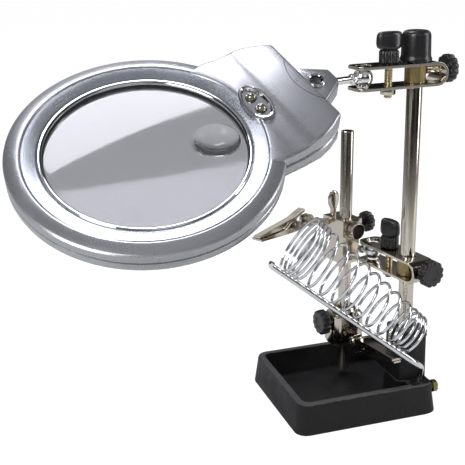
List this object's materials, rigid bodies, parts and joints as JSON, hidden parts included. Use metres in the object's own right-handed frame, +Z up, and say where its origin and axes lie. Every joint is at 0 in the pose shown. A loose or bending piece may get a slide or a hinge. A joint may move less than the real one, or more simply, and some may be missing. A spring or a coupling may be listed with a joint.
{
  "type": "soldering iron stand with third hand and magnifier",
  "caption": "Cast tray stand with a tall post, a lighted magnifier on a ball joint, spring clips on a short post, and a coil rest for a soldering iron.",
  "frame": {"origin": "centre of the tray's underside", "axes": "+X to the right along the tray's front edge, +Y to the back, +Z up"},
  "size_m": [0.2285, 0.1355, 0.2046],
  "materials": {
    "cast_iron": "rough black casting",
    "nickel": "bright nickel plate",
    "chrome": "polished chrome plate",
    "black_plastic": "moulded black, satin",
    "silver_paint": "silver painted, satin gloss",
    "brass": "plain turned brass",
    "zinc": "yellow zinc plate",
    "lens": "clear acrylic, polished",
    "rubber": "black",
    "led": "clear epoxy",
    "cell": "plain printed sleeve"
  },
  "bodies": {
    "base": {"base_tray": "cast_iron", "post_set_screw": "brass", "holder_set_screw": "brass", "main_post": "nickel", "post_cap": "black_plastic"},
    "iron_holder": {"holder_rod": "chrome", "iron_coil": "chrome"},
    "upper_sleeve": {"upper_post_sleeve": "brass"},
    "upper_arm": {"upper_bracket": "nickel", "upper_bolt_nut": "nickel"},
    "upper_clamp": {"upper_clamp_knob": "black_plastic", "upper_clamp_screw": "nickel"},
    "upper_wing": {"upper_wing_knob": "black_plastic", "upper_wing_bolt": "zinc"},
    "upper_ball": {"upper_ball": "chrome"},
    "upper_stud": {"upper_stud": "chrome"},
    "magnifier": {"front_cover": "silver_paint", "back_cover": "silver_paint", "case_screw_1": "zinc", "case_screw_2": "zinc", "main_lens": "lens", "lens_gasket": "rubber", "led_bezel": "chrome", "led_1": "led", "led_2": "led", "cell_1": "cell", "cell_2": "cell", "tail_block": "silver_paint", "switch_ring": "chrome"},
    "switch_button": {"light_switch": "black_plastic"},
    "battery_door": {"battery_cover": "silver_paint"},
    "middle_sleeve": {"middle_post_sleeve": "brass"},
    "middle_arm": {"middle_bracket": "nickel", "middle_bolt_nut": "nickel"},
    "middle_clamp": {"middle_clamp_knob": "black_plastic", "middle_clamp_screw": "nickel"},
    "middle_wing": {"middle_wing_knob": "black_plastic", "middle_wing_bolt": "zinc"},
    "middle_ball": {"middle_ball": "chrome"},
    "middle_stud": {"middle_stud": "chrome"},
    "clip_block": {"upper_block": "nickel"},
    "block_knob": {"block_knob": "black_plastic"},
    "knurled_screw": {"knurled_screw": "nickel"},
    "thumb_screw": {"thumb_screw": "nickel"},
    "short_post": {"short_post": "nickel"},
    "clip_arm": {"clip_rod": "nickel", "upper_clip_screw": "nickel"},
    "upper_clip": {"upper_clip_lower_jaw": "nickel", "upper_clip_jaw_pin": "nickel", "upper_clip_spring": "nickel"},
    "upper_clip_jaw": {"upper_clip_upper_jaw": "nickel"},
    "lower_sleeve": {"lower_post_sleeve": "brass"},
    "lower_clamp": {"lower_clamp_block": "nickel", "lower_clip_screw": "nickel"},
    "lower_knob": {"lower_clamp_knob": "black_plastic", "lower_clamp_screw": "nickel"},
    "lower_clip": {"lower_clip_lower_jaw": "nickel", "lower_clip_jaw_pin": "nickel", "lower_clip_spring": "nickel"},
    "lower_clip_jaw": {"lower_clip_upper_jaw": "nickel"}
  },
  "joints": [
    {"name": "holder_swivel", "type": "hinge", "parent": "base", "child": "iron_holder", "pos_m": [0.033, -0.029, 0.01], "axis": [0, 0, 1], "range_deg": [0, 60]},
    {"name": "upper_slide", "type": "slide", "parent": "base", "child": "upper_sleeve", "axis": [0, 0, 1], "range_m": [-0.03, 0]},
    {"name": "upper_swivel", "type": "hinge", "parent": "upper_sleeve", "child": "upper_arm", "pos_m": [0.029, -0.0175, 0.183], "axis": [0, 0, 1], "range_deg": [-30, 60]},
    {"name": "upper_clamp_turn", "type": "hinge", "parent": "upper_arm", "child": "upper_clamp", "pos_m": [0.029, -0.0175, 0.1845], "axis": [0.9973, 0.073, 0], "range_deg": [0, 180]},
    {"name": "upper_wing_turn", "type": "hinge", "parent": "upper_arm", "child": "upper_wing", "pos_m": [0.01354, -0.01863, 0.183], "axis": [0, 0, 1], "range_deg": [0, 180]},
    {"name": "upper_ball_yaw", "type": "hinge", "parent": "upper_arm", "child": "upper_ball", "pos_m": [-0.00092, -0.01969, 0.183], "axis": [0, 0, 1], "range_deg": [-30, 30]},
    {"name": "upper_ball_tilt", "type": "hinge", "parent": "upper_ball", "child": "upper_stud", "pos_m": [-0.00092, -0.01969, 0.183], "axis": [0.3047, -0.9525, 0], "range_deg": [-10, 10]},
    {"name": "head_roll", "type": "hinge", "parent": "upper_stud", "child": "magnifier", "pos_m": [-0.00092, -0.01969, 0.183], "axis": [-0.9524, -0.3047, -0.0037], "range_deg": [-20, 40]},
    {"name": "light_switch_press", "type": "slide", "parent": "magnifier", "child": "switch_button", "axis": [0.1129, 0.507, -0.8545], "range_m": [0, 0.001], "stiffness_N_per_m": 300, "springref_m": -0.0005},
    {"name": "battery_cover_lift", "type": "slide", "parent": "magnifier", "child": "battery_door", "axis": [0.1129, 0.507, -0.8545], "range_m": [0, 0.012]},
    {"name": "middle_slide", "type": "slide", "parent": "base", "child": "middle_sleeve", "axis": [0, 0, 1], "range_m": [0, 0.008]},
    {"name": "middle_swivel", "type": "hinge", "parent": "middle_sleeve", "child": "middle_arm", "pos_m": [0.029, -0.0175, 0.0805], "axis": [0, 0, 1], "range_deg": [-12, 0]},
    {"name": "middle_clamp_turn", "type": "hinge", "parent": "middle_arm", "child": "middle_clamp", "pos_m": [0.029, -0.0175, 0.082], "axis": [0.18, -0.9837, 0], "range_deg": [0, 180]},
    {"name": "middle_wing_turn", "type": "hinge", "parent": "middle_arm", "child": "middle_wing", "pos_m": [0.02621, -0.00225, 0.0805], "axis": [0, 0, 1], "range_deg": [0, 180]},
    {"name": "middle_ball_yaw", "type": "hinge", "parent": "middle_arm", "child": "middle_ball", "pos_m": [0.0236, 0.01201, 0.0805], "axis": [0, 0, 1], "range_deg": [-8, 0]},
    {"name": "middle_ball_tilt", "type": "hinge", "parent": "middle_ball", "child": "middle_stud", "pos_m": [0.0236, 0.01201, 0.0805], "axis": [-0.7217, -0.6923, 0], "range_deg": [-1.5, 2]},
    {"name": "block_roll", "type": "hinge", "parent": "middle_stud", "child": "clip_block", "pos_m": [0.0236, 0.01201, 0.0805], "axis": [-0.6923, 0.7217, 0], "range_deg": [-3, 3]},
    {"name": "block_knob_turn", "type": "hinge", "parent": "clip_block", "child": "block_knob", "pos_m": [0.0089, 0.0177, 0.095], "axis": [0.97, 0.243, 0], "range_deg": [0, 180]},
    {"name": "knurled_screw_turn", "type": "hinge", "parent": "clip_block", "child": "knurled_screw", "pos_m": [0.0089, 0.0177, 0.0944], "axis": [0.243, -0.97, 0], "range_deg": [0, 180]},
    {"name": "thumb_screw_turn", "type": "hinge", "parent": "clip_block", "child": "thumb_screw", "pos_m": [0.0045, 0.02502, 0.1], "axis": [0, 0, 1], "range_deg": [0, 180]},
    {"name": "short_post_slide", "type": "slide", "parent": "clip_block", "child": "short_post", "axis": [0, 0, 1], "range_m": [0, 0.008]},
    {"name": "clip_arm_turn", "type": "hinge", "parent": "clip_block", "child": "clip_arm", "pos_m": [-0.01487, 0.01411, 0.102], "axis": [-0.8358, -0.477, 0.2719], "range_deg": [-45, 45]},
    {"name": "upper_clip_tilt", "type": "hinge", "parent": "clip_arm", "child": "upper_clip", "pos_m": [-0.016, 0.016, 0.102], "axis": [0.5148, -0.8573, 0], "range_deg": [-30, 30]},
    {"name": "upper_clip_open", "type": "hinge", "parent": "upper_clip", "child": "upper_clip_jaw", "pos_m": [-0.02801, 0.00879, 0.10283], "axis": [-0.5148, 0.8573, 0], "range_deg": [0, 15], "stiffness_Nm_per_rad": 0.08, "springref_deg": -17.19},
    {"name": "lower_slide", "type": "slide", "parent": "short_post", "child": "lower_sleeve", "axis": [0, 0, 1], "range_m": [-0.006, 0]},
    {"name": "lower_swivel", "type": "hinge", "parent": "lower_sleeve", "child": "lower_clamp", "pos_m": [0.0089, 0.0177, 0.035], "axis": [0, 0, 1], "range_deg": [-40, 0]},
    {"name": "lower_knob_turn", "type": "hinge", "parent": "lower_clamp", "child": "lower_knob", "pos_m": [0.0089, 0.0177, 0.0395], "axis": [-0.9915, -0.1302, 0], "range_deg": [0, 180]},
    {"name": "lower_clip_tilt", "type": "hinge", "parent": "lower_clamp", "child": "lower_clip", "pos_m": [0.0106, 0.006, 0.0297], "axis": [0.9924, 0.1229, 0], "range_deg": [0, 12]},
    {"name": "lower_clip_open", "type": "hinge", "parent": "lower_clip", "child": "lower_clip_jaw", "pos_m": [0.01232, -0.0079, 0.03051], "axis": [0.9924, 0.1229, 0], "range_deg": [0, 15], "stiffness_Nm_per_rad": 0.08, "springref_deg": -17.19}
  ]
}
